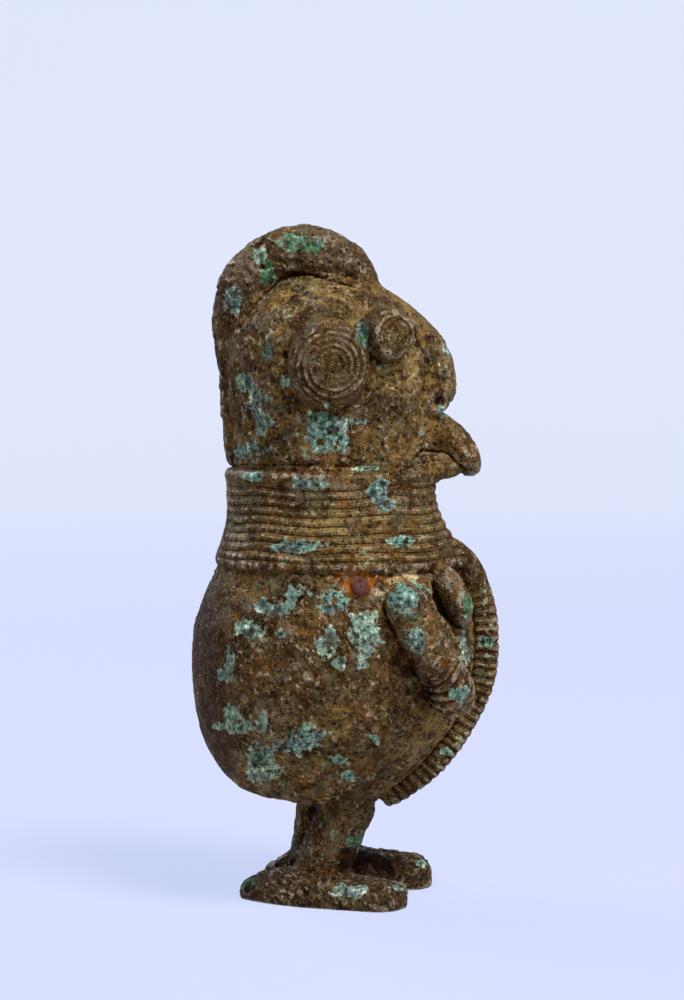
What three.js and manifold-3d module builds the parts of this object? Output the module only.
// A small bronze figurine, cast by the lost-wax method, standing on two flat feet.
//
// The founder models it in wax round a clay core and lutes each piece on: a round torso, a head, a collar
// of thread laid round the neck, a comb of hair, ears and eyes coiled from thread, a hooked nose, a beak of
// two lips, breasts, bent arms with bracelets, a notched cord down the belly, legs and feet. Each of those
// pieces is one mesh here. Iron pins hold the core in place while the bronze is poured.
//
// Millimetres. +Z is up, the figure looks along -Y and its right hand is on -X. The origin is on the floor,
// in the middle of the figure's footprint.
import * as THREE from "three";
import { mergeVertices } from "three/addons/utils/BufferGeometryUtils.js";
import Module from "manifold-3d";

// Heights, stacked from the floor up.
const legHeight = 16.8; // floor to the underside of the belly
const torsoHeight = 45.2; // underside of the belly to the shoulder
const collarLap = 2.4; // how far the collar reaches down over the shoulder
const collarHeight = 16.5;
const headHeight = 36; // top of the collar to the crown
const crestRise = 8; // top of the comb above the crown
const neckHeight = 4; // shoulder to the joint of torso and head, inside the collar

// Depths run from back to front and widths from side to side.
const torsoDepth = 50.8;
const torsoWidth = 44;
const headDepth = 36.8;
const headWidth = 31.5;
const neckDepth = 33.2;
const neckWidth = 28.6;
const neckFlare = 1; // how far the neck spreads where it leaves the shoulder

// The casting.
const bronzeWall = 3.2; // bronze between the skin and the clay core
const seatGap = 0.3; // left between a piece and the one it sits on
const pinRadius = 1.4;
const pinLength = 8;
const pinDrop = 2.4; // from the collar down to the pin

// Thread, rolled from wax and wound side by side.
const collarThread = 1.25;
const earThread = 1.2;
const eyeThread = 1.15;
const braceletThread = 1.4;

// Pieces luted on.
const earRadius = 7.2;
const earRise = 3.4;
const eyeRadius = 4.2;
const eyeRise = 3.6;
const crestWidth = 12;
const plaitWidth = 6;
const plaitRise = 1.6;
const plaitLap = 2; // how far the plait reaches up under the comb
const noseWidth = 6.6;
const noseRise = 3.9;
const nostrilRadius = 1.8;
const lipWidth = 13;
const lipThickness = 6.8; // of the upper lip, where it leaves the face
const beakReach = 8.4; // how far the beak stands out from the face
const mouthGap = 0.7;
const breastLength = 9;
const breastRadius = 2.4;
const breastDrop = 1.2; // from the collar to the top of the breast
const armRadius = 3.2;
const cordRadius = 2.2;
const cordNotches = 36;
const cordTuck = 0.5; // how far its ends reach in under the collar and between the legs
const legRadius = 5.2;
const legGap = 0.6; // between the two legs
const soleThickness = 1.6; // bronze left under a leg's socket in the foot
const footLength = 31;
const footWidth = 11.6;
const footHeight = 6.6;
const footSplay = 15; // degrees that each foot turns out

// Heights above the floor that the sizes add up to.
const shoulder = legHeight + torsoHeight;
const neckJoint = shoulder + neckHeight;
const collarBottom = shoulder - collarLap;
const collarTop = collarBottom + collarHeight;

const right = -1; // sides of the figure, as the sign of x
const left = 1;

const bronze = { color: 0x5a4531, roughness: 0.62, metalness: 0.55 };
const darkBronze = { color: 0x4a382b, roughness: 0.6, metalness: 0.55 };
const ochreBronze = { color: 0x7a6440, roughness: 0.75, metalness: 0.4 };
const greyBronze = { color: 0x5d6560, roughness: 0.66, metalness: 0.5 };
const firedClay = { color: 0x6e5a48, roughness: 0.95, metalness: 0 };
const rustyIron = { color: 0x6a2316, roughness: 0.9, metalness: 0.2 };

const wasm = await Module();
wasm.setup();

// A closed geometry as a solid that can be joined and cut.
function solid(geometry) {
  const bare = geometry.index ? geometry.toNonIndexed() : geometry.clone();
  bare.deleteAttribute("normal");
  bare.deleteAttribute("uv");
  const merged = mergeVertices(bare, 1e-4);
  const mesh = new wasm.Mesh({
    numProp: 3,
    vertProperties: merged.attributes.position.array,
    triVerts: new Uint32Array(merged.index.array),
  });
  return new wasm.Manifold(mesh);
}

// A solid as a named mesh in its own finish.
function piece(name, made, finish) {
  const { vertProperties, triVerts } = made.getMesh();
  const geometry = new THREE.BufferGeometry();
  geometry.setAttribute("position", new THREE.Float32BufferAttribute(vertProperties, 3));
  geometry.setIndex(new THREE.BufferAttribute(triVerts, 1));
  geometry.computeVertexNormals();
  const mesh = new THREE.Mesh(geometry, new THREE.MeshStandardMaterial(finish));
  mesh.name = name;
  return mesh;
}

function evenShares(count) {
  return Array.from({ length: count + 1 }, (_, i) => i / count);
}

// A rounded form given by its side outline: rows of [height, back, front, width share], where back and front
// are how far the outline lies in front of the figure's upright axis. Across, each level is an ellipse, and
// its width is the width share of its depth. A form can be grown or shrunk evenly, which makes walls, cores
// and clearances.
class RoundedForm {
  constructor(outline) {
    const points = outline.map(([height, back, front]) => new THREE.Vector3(back, front, height));
    this.curve = new THREE.CatmullRomCurve3(points, false, "centripetal");
    this.widthShares = outline.map((row) => row[3]);
  }

  // The width share at a place along the outline, between those of the rows above and below.
  widthShareAt(t) {
    const last = this.widthShares.length - 1;
    const row = THREE.MathUtils.clamp(Math.floor(t * last), 0, last - 1);
    return mixed(this.widthShares[row], this.widthShares[row + 1], t * last - row);
  }

  // One level of the form: its height, half depth, centre and width share, once grown.
  level(t, grow = 0) {
    const at = this.curve.getPoint(t);
    const along = this.curve.getTangent(t);
    const widening = (along.y - along.x) / 2;
    const slope = Math.hypot(widening, along.z);
    return {
      height: at.z - (grow * widening) / slope,
      radius: Math.max((at.y - at.x) / 2 + (grow * along.z) / slope, 0),
      centre: (at.x + at.y) / 2,
      widthShare: this.widthShareAt(t),
    };
  }

  // The place along the outline that has a height.
  placeOf(height) {
    let low = 0;
    let high = 1;
    for (let i = 0; i < 30; i++) {
      const middle = (low + high) / 2;
      if (this.curve.getPoint(middle).z < height) low = middle;
      else high = middle;
    }
    return (low + high) / 2;
  }

  // A point of the skin. The turn is in degrees from the front, and positive towards the figure's left.
  point(t, turn, grow = 0) {
    const { height, radius, centre, widthShare } = this.level(t, grow);
    const angle = THREE.MathUtils.degToRad(turn);
    const x = radius * widthShare * Math.sin(angle);
    return new THREE.Vector3(x, -centre - radius * Math.cos(angle), height);
  }

  // The direction that points straight out of the skin.
  outward(t, turn) {
    const step = 0.004;
    const up = this.point(t + step, turn).sub(this.point(t - step, turn));
    const round = this.point(t, turn + 1).sub(this.point(t, turn - 1));
    return round.cross(up).normalize();
  }

  // The form as a closed solid, turned on its axis, then flattened and leaned level by level. It has a row
  // of vertices at each of the places. growAt gives how far each row is grown, and endGrow how far its flat
  // ends move out.
  solid({ places = evenShares(16), growAt = () => 0, endGrow = growAt(0), sectors = 28 } = {}) {
    const levels = places.map((place, row) => this.level(place, growAt(row)));
    levels[0].height = this.level(0).height - endGrow;
    levels.at(-1).height = this.level(1).height + endGrow;
    const profile = levels.map(({ radius, height }) => new THREE.Vector2(radius, height));
    profile.unshift(new THREE.Vector2(0, profile[0].y));
    profile.push(new THREE.Vector2(0, profile.at(-1).y));
    const rows = [levels[0], ...levels, levels.at(-1)];
    const geometry = new THREE.LatheGeometry(profile, sectors).rotateX(Math.PI / 2);
    const position = geometry.attributes.position;
    for (let i = 0; i < position.count; i++) {
      const { centre, widthShare } = rows[i % rows.length];
      position.setX(i, position.getX(i) * widthShare);
      position.setY(i, position.getY(i) - centre);
    }
    return solid(geometry);
  }
}

function mixed(from, to, share) {
  return THREE.MathUtils.lerp(from, to, share);
}

const sideways = new THREE.Vector3(1, 0, 0);
const upright = new THREE.Vector3(0, 0, 1);

// A rod that follows a curve. sectionAt(s) gives its half width and half thickness at a share s of its
// length. Across is the direction of its width.
function rod(curve, sectionAt, rows, sides, across = sideways) {
  const skin = evenShares(rows).map((s) => new THREE.Vector2(1, s));
  const profile = [new THREE.Vector2(0, 0), ...skin, new THREE.Vector2(0, 1)];
  const geometry = new THREE.LatheGeometry(profile, sides);
  const position = geometry.attributes.position;
  for (let i = 0; i < position.count; i++) {
    const s = position.getY(i);
    const along = curve.getTangentAt(s);
    const width = across.clone().addScaledVector(along, -across.dot(along)).normalize();
    const thickness = new THREE.Vector3().crossVectors(width, along);
    const [halfWidth, halfThickness] = sectionAt(s);
    const at = curve.getPointAt(s);
    at.addScaledVector(width, position.getX(i) * halfWidth);
    at.addScaledVector(thickness, position.getZ(i) * halfThickness);
    position.setXYZ(i, at.x, at.y, at.z);
  }
  return solid(geometry);
}

// How much of its full thickness a rod with round ends has, at a share s of its length.
function roundEnds(s, endShare) {
  const fromEnd = Math.min(s, 1 - s) / endShare;
  return fromEnd < 1 ? Math.sqrt(Math.max(1 - (1 - fromEnd) ** 2, 0.02)) : 1;
}

// A curve whose points come from a function of the share of its length.
class FormulaCurve extends THREE.Curve {
  constructor(pointAt) {
    super();
    this.pointAt = pointAt;
  }

  getPoint(share, target = new THREE.Vector3()) {
    return target.copy(this.pointAt(share));
  }
}

function smoothCurve(points) {
  return new THREE.CatmullRomCurve3(points, false, "centripetal");
}

// Turns a solid made round +Z, with +Y as its top, so that it stands on a form's skin.
function stoodOn(form, made, t, turn) {
  const out = form.outward(t, turn);
  const across = new THREE.Vector3().crossVectors(upright, out).normalize();
  const up = new THREE.Vector3().crossVectors(out, across);
  const matrix = new THREE.Matrix4().makeBasis(across, up, out).setPosition(form.point(t, turn));
  return made.transform(matrix.elements);
}

// The torso, from the underside of the belly to the joint inside the collar. The rows give shares of its
// height and of its depth, and the last two rows are the neck.
const torsoShares = [
  [0, -0.085, -0.085],
  [0.012, -0.21, 0.1],
  [0.055, -0.345, 0.172],
  [0.115, -0.417, 0.228],
  [0.217, -0.476, 0.315],
  [0.336, -0.513, 0.394],
  [0.46, -0.531, 0.445],
  [0.59, -0.535, 0.465],
  [0.712, -0.519, 0.463],
  [0.83, -0.484, 0.441],
  [0.935, -0.438, 0.404],
];
const neckCentre = -1.7; // in front of the figure's upright axis
const neckBack = neckCentre - neckDepth / 2;
const neckFront = neckCentre + neckDepth / 2;
const neckShare = neckWidth / neckDepth;

// Rows of shares as rows of an outline in millimetres, from a height upwards.
function outlineRows(shares, from, height, depth, width) {
  return shares.map(([h, back, front]) => [from + h * height, back * depth, front * depth, width / depth]);
}

const torsoForm = new RoundedForm([
  ...outlineRows(torsoShares, legHeight, torsoHeight, torsoDepth, torsoWidth),
  [shoulder, neckBack - neckFlare, neckFront + neckFlare, neckShare],
  [neckJoint, neckBack, neckFront, neckShare],
]);

// The head, from that joint to the crown. The rows give shares of its height above the collar and of its
// depth.
const headShares = [
  [0.03, -0.516, 0.424],
  [0.14, -0.535, 0.435],
  [0.33, -0.554, 0.436],
  [0.53, -0.565, 0.43],
  [0.69, -0.553, 0.38],
  [0.82, -0.478, 0.285],
  [0.92, -0.345, 0.15],
  [0.98, -0.215, -0.02],
  [1, -0.122, -0.118],
];
const headForm = new RoundedForm([
  [neckJoint + seatGap, neckBack, neckFront, neckShare],
  [collarTop - collarThread, neckBack, neckFront, neckShare],
  ...outlineRows(headShares, collarTop, headHeight, headDepth, headWidth),
]);

// The collar's sleeve, under its thread. It flares from the neck to the shoulder that it stands on. The rows
// give shares of its height and of that flare.
const sleeveWall = 0.5;
const sleeveShares = [
  [0, 1],
  [0.12, 0.8],
  [0.34, 0.36],
  [0.55, 0.1],
  [1, 0],
];
const rim = torsoForm.level(torsoForm.placeOf(collarBottom)); // of the shoulder, under the collar's foot
const collarForm = new RoundedForm(
  sleeveShares.map(([h, flare]) => [
    collarBottom + h * collarHeight,
    mixed(neckBack, rim.centre - rim.radius, flare) - seatGap - sleeveWall,
    mixed(neckFront, rim.centre + rim.radius, flare) + seatGap + sleeveWall,
    mixed(neckShare, rim.widthShare, flare),
  ]),
);

const torsoCleared = torsoForm.solid({ growAt: () => seatGap });
const headCleared = headForm.solid({ growAt: () => seatGap });
const collarRows = Math.round(collarHeight / collarThread); // rows of thread
const collarHeights = evenShares(2 * collarRows).map((share) => collarBottom + share * collarHeight);
const collarPlaces = collarHeights.map((height) => collarForm.placeOf(height));
const collarCleared = collarForm.solid({
  places: collarPlaces,
  growAt: () => collarThread / 2 + seatGap,
  endGrow: seatGap,
});

// A plain elliptical plug up the neck, for the passage from the torso's hollow to the head's.
function neckPlug(inset) {
  const plug = new THREE.CylinderGeometry(1, 1, 3 * neckHeight, 16).rotateX(Math.PI / 2);
  plug.scale(neckWidth / 2 - inset, neckDepth / 2 - inset, 1);
  plug.translate(0, -neckCentre, neckJoint);
  return solid(plug);
}

// The space inside the bronze, or the core that fills it when the inset leaves a gap.
function coreSpace(inset) {
  const inTorso = torsoForm.solid({ places: evenShares(10), growAt: () => -inset, sectors: 16 });
  const inHead = headForm.solid({ places: evenShares(8), growAt: () => -inset, sectors: 16 });
  return inTorso.add(inHead).add(neckPlug(inset));
}

// Iron pins through the wall at each shoulder, which keep the core from shifting.
const pinTurn = 77; // degrees from the front
const pinPlace = torsoForm.placeOf(collarBottom - pinDrop);

function makeCorePin(side) {
  const pin = new THREE.CylinderGeometry(pinRadius, pinRadius, pinLength, 12).rotateX(Math.PI / 2);
  pin.translate(0, 0, -pinLength / 2);
  return stoodOn(torsoForm, solid(pin), pinPlace, side * pinTurn);
}

// A hole with a gap round the pin and behind its inner end, which runs on out through the skin.
function corePinHole(side) {
  const radius = pinRadius + seatGap;
  const hole = new THREE.CylinderGeometry(radius, radius, 2 * pinLength + seatGap, 12).rotateX(Math.PI / 2);
  hole.translate(0, 0, -seatGap / 2);
  return stoodOn(torsoForm, solid(hole), pinPlace, side * pinTurn);
}

function makeTorso() {
  const shell = torsoForm.solid().subtract(coreSpace(bronzeWall));
  return shell.subtract(corePinHole(right)).subtract(corePinHole(left));
}

function makeClayCore() {
  const core = coreSpace(bronzeWall + seatGap);
  return core.subtract(corePinHole(right)).subtract(corePinHole(left));
}

function makeHead() {
  return headForm.solid().subtract(coreSpace(bronzeWall));
}

// Rows of wax thread laid round the neck, one above another, on a sleeve.
function makeCollar() {
  const ridge = (row) => (row % 2 === 1 ? collarThread / 2 : 0);
  const wound = collarForm.solid({ places: collarPlaces, growAt: ridge, sectors: 22 });
  return wound.subtract(torsoCleared).subtract(headCleared).subtract(neckPlug(-seatGap));
}

// The comb of hair over the crown, thickest on top, which runs out down the back of the head. It swells out
// over the head on both sides, so its section is widest above the skin.
const crestFront = collarTop + 0.885 * headHeight;
const crestBack = collarTop + 0.57 * headHeight;
const summitShare = 0.97; // of the head's outline, where the comb's line crosses to the back

function crestSwell(s) {
  return mixed(0.1, 1, Math.max(Math.sin(Math.PI * s ** 0.72), 0) ** 0.8);
}

// A point of the comb's axis, at a share of its length from the forehead.
function crestPoint(s) {
  const lift = 0.35 * crestRise * crestSwell(s);
  const front = headForm.placeOf(crestFront);
  const back = headForm.placeOf(crestBack);
  const turnOver = 0.36; // share of the comb that lies in front of the crown
  if (s < turnOver) return headForm.point(mixed(front, summitShare, s / turnOver), 0, lift);
  return headForm.point(mixed(summitShare, back, (s - turnOver) / (1 - turnOver)), 180, lift);
}

function crestRod(grow = 0) {
  const line = smoothCurve(evenShares(24).map(crestPoint));
  const section = (s) => {
    const swell = crestSwell(s);
    return [(crestWidth / 2) * mixed(0.4, 1, swell) + grow, 0.65 * crestRise * swell + grow];
  };
  return rod(line, section, 18, 12);
}

function makeCrest() {
  return crestRod().subtract(headCleared);
}

// A flat plait from the comb down to the collar.
function makeNapePlait() {
  const start = headForm.placeOf(crestBack + plaitLap);
  const end = headForm.placeOf(collarTop + seatGap);
  const line = new FormulaCurve((s) => headForm.point(mixed(start, end, s), 180));
  const section = (s) => [(plaitWidth / 2) * roundEnds(s, 0.12), plaitRise * roundEnds(s, 0.12)];
  const plait = rod(line, section, 10, 10).subtract(headCleared);
  return plait.subtract(crestRod(seatGap)).subtract(collarCleared);
}

// A low dome of thread coiled flat, from its middle out to its rim. Each row of vertices follows the spiral:
// a row moves out by one thread in a turn, and meets the next turn's row there. The dome stands on z = 0.
function coiledDome(radius, rise, threadDiameter, sectors) {
  const turns = Math.round(radius / threadDiameter);
  const domeHeight = (turn) => rise * (1 - 0.55 * (turn / turns) ** 2.4);
  const rowCount = 2 * turns + 3; // a ridge and a groove for each turn, and the rows that meet in the middle
  const profile = [new THREE.Vector2(0, -rise), new THREE.Vector2(radius, -rise)];
  for (let row = 0; row < rowCount; row++) profile.push(new THREE.Vector2(radius * (1 - row / rowCount), 0));
  const geometry = new THREE.LatheGeometry(profile, sectors).rotateX(Math.PI / 2);
  const position = geometry.attributes.position;
  for (let i = 0; i < position.count; i++) {
    const row = (i % profile.length) - 2;
    if (row < 0) continue;
    const sector = Math.floor(i / profile.length);
    const turn = THREE.MathUtils.clamp(turns - row / 2 + sector / sectors, 0, turns);
    const inside = turn > 0 && turn < turns;
    const angle = (2 * Math.PI * sector) / sectors;
    const distance = (turn * radius) / turns;
    const height = domeHeight(turn) + (inside && row % 2 === 1 ? threadDiameter / 2 : 0);
    position.setXYZ(i, distance * Math.sin(angle), -distance * Math.cos(angle), height);
  }
  return solid(geometry);
}

const earHeight = collarTop + 0.515 * headHeight;
const earTurn = 88;
const eyeHeight = collarTop + 0.67 * headHeight;
const eyeTurn = 49;

function makeEar(side) {
  const coil = coiledDome(earRadius, earRise, earThread, 20);
  return stoodOn(headForm, coil, headForm.placeOf(earHeight), side * earTurn).subtract(headCleared);
}

function makeEye(side) {
  const coil = coiledDome(eyeRadius, eyeRise, eyeThread, 16);
  return stoodOn(headForm, coil, headForm.placeOf(eyeHeight), side * eyeTurn).subtract(headCleared);
}

// The nose is an arched ridge from the comb down to a hooked tip.
const noseTop = collarTop + 0.89 * headHeight;
const noseTip = collarTop + 0.31 * headHeight;

function noseRod(grow = 0) {
  const foot = headForm.placeOf(noseTip);
  const top = headForm.placeOf(noseTop);
  const ridge = new FormulaCurve((s) => headForm.point(mixed(top, foot, s), 0));
  const section = (s) => {
    const end = roundEnds(s, 0.1);
    const rise = noseRise * mixed(0.3, 1, s ** 0.8);
    return [(noseWidth / 2) * mixed(0.68, 1, s) * end + grow, rise * end + grow];
  };
  return rod(ridge, section, 14, 10);
}

function makeNose() {
  return noseRod().subtract(headCleared).subtract(crestRod(seatGap));
}

function makeNostril(side) {
  const bead = new THREE.SphereGeometry(nostrilRadius, 12, 8);
  const place = headForm.placeOf(noseTip + nostrilRadius);
  const at = headForm.point(place, 0, noseRise / 2);
  bead.translate(side * (noseWidth / 2 + nostrilRadius / 3), at.y, at.z);
  return solid(bead).subtract(noseRod(seatGap)).subtract(headCleared);
}

// The lips form a beak: the upper one hooks down over the tip of the lower one.
const mouthHeight = collarTop + 0.08 * headHeight;
const faceFront = -headForm.point(headForm.placeOf(mouthHeight), 0).y;

// A point of the beak: how far it is in front of the face, as a share of the beak's reach, and how far above
// the mouth, as a share of the lip's thickness.
function beakPoint(forward, up) {
  return new THREE.Vector3(0, -(faceFront + forward * beakReach), mouthHeight + up * lipThickness);
}

function upperLipRod(grow = 0) {
  const line = smoothCurve([
    beakPoint(-0.5, 0.62),
    beakPoint(0.1, 0.53),
    beakPoint(0.55, 0.25),
    beakPoint(0.77, -0.2),
    beakPoint(0.79, -0.62),
  ]);
  const section = (s) => {
    const end = roundEnds(s, 0.14);
    const width = lipWidth * mixed(1, 0.36, s);
    const thickness = lipThickness * mixed(1, 0.5, s);
    return [(width * end) / 2 + grow, (thickness * end) / 2 + grow];
  };
  return rod(line, section, 14, 12);
}

function makeUpperLip() {
  return upperLipRod().subtract(headCleared);
}

function makeLowerLip() {
  const line = smoothCurve([beakPoint(-0.5, -0.22), beakPoint(0.15, -0.3), beakPoint(0.55, -0.56)]);
  const section = (s) => {
    const end = roundEnds(s, 0.2);
    return [(lipWidth / 2) * mixed(0.85, 0.45, s) * end, 0.3 * lipThickness * end];
  };
  const lip = rod(line, section, 8, 12).subtract(upperLipRod(mouthGap));
  return lip.subtract(headCleared).subtract(collarCleared);
}

// A breast hangs from under the collar, beside the cord.
const breastTurns = [35, 27]; // degrees from the front, at its top and at its tip

function makeBreast(side) {
  const top = torsoForm.placeOf(collarBottom - breastDrop);
  const tip = torsoForm.placeOf(collarBottom - breastDrop - breastLength);
  const line = new FormulaCurve((s) => {
    const turn = mixed(...breastTurns, s);
    return torsoForm.point(mixed(top, tip, s), side * turn, 0.4 * breastRadius);
  });
  const section = (s) => {
    const swell = mixed(0.75, 1, Math.sin(Math.PI * s)) * roundEnds(s, 0.3);
    return [breastRadius * swell, breastRadius * swell];
  };
  return rod(line, section, 10, 12).subtract(torsoCleared).subtract(collarCleared);
}

// Each arm runs from the shoulder forward and down to a hand on the belly. Each point of its axis has a turn
// in degrees from the front, a drop below the shoulder as a share of the torso's height, and a lift off the
// skin as a share of the arm's radius.
const armPath = [
  { turn: 61, dropShare: 0.12, liftShare: 0.6 },
  { turn: 60, dropShare: 0.18, liftShare: 0.84 },
  { turn: 53, dropShare: 0.325, liftShare: 0.94 },
  { turn: 45, dropShare: 0.438, liftShare: 0.94 },
  { turn: 39, dropShare: 0.524, liftShare: 0.9 },
  { turn: 33, dropShare: 0.59, liftShare: 0.8 },
];
const wristTaper = 0.98; // radius of the wrist and hand, as a share of the arm's
const wristShare = 0.84; // where the arm ends and the hand begins, inside the bracelet
const braceletShares = [0.6, 0.88]; // where the bracelet starts and ends along the arm

function armLine(side) {
  const points = armPath.map(({ turn, dropShare, liftShare }) => {
    const place = torsoForm.placeOf(shoulder - dropShare * torsoHeight);
    return torsoForm.point(place, side * turn, liftShare * armRadius);
  });
  return smoothCurve(points);
}

function partOf(curve, from, to) {
  return new FormulaCurve((s) => curve.getPointAt(mixed(from, to, s)));
}

// Where a piece ends that meets the other at the wrist, as a share of the arm's line.
function wristEnd(line, away, grow) {
  return wristShare + (away * (seatGap / 2 - grow)) / line.getLength();
}

function armRod(side, grow = 0) {
  const whole = armLine(side);
  const line = partOf(whole, 0, wristEnd(whole, -1, grow));
  const section = (s) => {
    const radius = armRadius * mixed(1.08, wristTaper, s) * (s < 0.5 ? roundEnds(s, 0.2) : 1) + grow;
    return [radius, radius];
  };
  return rod(line, section, 10, 12, upright);
}

function makeArm(side) {
  return armRod(side).subtract(torsoCleared).subtract(collarCleared);
}

function handRod(side, grow = 0) {
  const whole = armLine(side);
  const line = partOf(whole, wristEnd(whole, 1, grow), 1);
  const section = (s) => {
    const radius = armRadius * wristTaper * (s > 0.5 ? roundEnds(s, 0.45) : 1) + grow;
    return [radius, radius];
  };
  return rod(line, section, 8, 12, upright);
}

function makeHand(side) {
  return handRod(side).subtract(torsoCleared);
}

// A thread wound round the wrist.
function makeBracelet(side) {
  const line = partOf(armLine(side), ...braceletShares);
  const turns = Math.round(line.getLength() / braceletThread);
  const sleeve = (armRadius * (1 + wristTaper)) / 2 + seatGap;
  const section = (s) => {
    const ridge = Math.abs(Math.sin(Math.PI * turns * s));
    const radius = sleeve + braceletThread * mixed(0.35, 0.8, ridge);
    return [radius, radius];
  };
  const band = rod(line, section, 2 * turns, 10, upright);
  return band.subtract(armRod(side, seatGap)).subtract(handRod(side, seatGap)).subtract(torsoCleared);
}

// The notched cord down the middle of the belly, from under the collar to between the legs.
const cordTop = collarBottom + cordTuck;
const cordFoot = legHeight + cordTuck;
const cordStandOff = 1.6; // its centre line in front of the belly
const cordNotchDepth = 0.45;

function makeBellyCord() {
  const top = torsoForm.placeOf(cordTop);
  const foot = torsoForm.placeOf(cordFoot);
  const line = new FormulaCurve((s) => torsoForm.point(mixed(top, foot, s), 0, cordStandOff));
  const section = (s) => {
    const ridge = Math.abs(Math.sin(Math.PI * cordNotches * s));
    const radius = cordRadius * roundEnds(s, 0.03) - cordNotchDepth * (1 - ridge);
    return [radius, radius];
  };
  const cord = rod(line, section, 2 * cordNotches, 8).subtract(torsoCleared).subtract(collarCleared);
  return cord.subtract(legRod(right, seatGap)).subtract(legRod(left, seatGap));
}

// Where each leg starts, where it ends and how far the heel is behind it, in front of the figure's upright
// axis. The left leg stands a little behind the right one.
const legPlaces = {
  [right]: { top: 0.8, ankle: -3.2, heelReach: 15 },
  [left]: { top: -2.4, ankle: -4.6, heelReach: 10 },
};
const legSpread = legRadius + legGap / 2;
const legInTorso = 5; // how far the leg's own form reaches up before the belly cuts it

function legRod(side, grow = 0) {
  const { top, ankle } = legPlaces[side];
  const line = smoothCurve([
    new THREE.Vector3(side * legSpread, -top, legHeight + legInTorso),
    new THREE.Vector3(side * legSpread, -mixed(top, ankle, 0.35), mixed(legHeight, footHeight, 0.4)),
    new THREE.Vector3(side * legSpread, -ankle, soleThickness + seatGap - grow),
  ]);
  const section = (s) => {
    const radius = legRadius * (1 - 0.12 * Math.sin(Math.PI * s)) + grow;
    return [radius, radius];
  };
  return rod(line, section, 8, 16);
}

function makeLeg(side) {
  return legRod(side).subtract(torsoCleared);
}

// A foot is a rounded wedge, flat underneath, with the leg let into it. Its axis turns out from the heel.
const heelSpread = 3.6;

function makeFoot(side) {
  const { ankle, heelReach } = legPlaces[side];
  const splay = THREE.MathUtils.degToRad(footSplay);
  const heel = new THREE.Vector3(side * heelSpread, heelReach - ankle, 0);
  const forward = new THREE.Vector3(side * Math.sin(splay), -Math.cos(splay), 0);
  const line = new THREE.LineCurve3(heel, heel.clone().addScaledVector(forward, footLength));
  const section = (s) => {
    const ends = roundEnds(s, s < 0.5 ? 0.3 : 0.13);
    const width = (footWidth / 2) * mixed(0.62, 1, THREE.MathUtils.smoothstep(s, 0, 0.5));
    const height = footHeight * mixed(0.74, 1, Math.sin(Math.PI * Math.min(s * 1.3, 1)));
    return [width * ends, height * mixed(0.45, 1, ends)];
  };
  const whole = rod(line, section, 14, 20);
  const belowFloor = new THREE.BoxGeometry(4 * footLength, 4 * footLength, 2 * footHeight);
  belowFloor.translate(0, 0, -footHeight);
  return whole.subtract(solid(belowFloor)).subtract(legRod(side, seatGap));
}

const figurine = new THREE.Group();
figurine.add(
  piece("torso", makeTorso(), bronze),
  piece("clay_core", makeClayCore(), firedClay),
  piece("head", makeHead(), bronze),
  piece("collar", makeCollar(), ochreBronze),
  piece("crest", makeCrest(), darkBronze),
  piece("nape_plait", makeNapePlait(), bronze),
  piece("nose", makeNose(), bronze),
  piece("upper_lip", makeUpperLip(), bronze),
  piece("lower_lip", makeLowerLip(), ochreBronze),
  piece("belly_cord", makeBellyCord(), ochreBronze),
);
for (const [side, word] of [
  [right, "right"],
  [left, "left"],
])
  figurine.add(
    piece("core_pin_" + word, makeCorePin(side), rustyIron),
    piece("ear_" + word, makeEar(side), darkBronze),
    piece("eye_" + word, makeEye(side), greyBronze),
    piece("nostril_" + word, makeNostril(side), greyBronze),
    piece("breast_" + word, makeBreast(side), greyBronze),
    piece("arm_" + word, makeArm(side), greyBronze),
    piece("bracelet_" + word, makeBracelet(side), greyBronze),
    piece("hand_" + word, makeHand(side), greyBronze),
    piece("leg_" + word, makeLeg(side), bronze),
    piece("foot_" + word, makeFoot(side), bronze),
  );

// Stands the figurine with the middle of its footprint on the origin.
const reach = new THREE.Box3().setFromObject(figurine);
const middle = reach.getCenter(new THREE.Vector3());
figurine.position.set(-middle.x, -middle.y, -reach.min.z);

export default figurine;
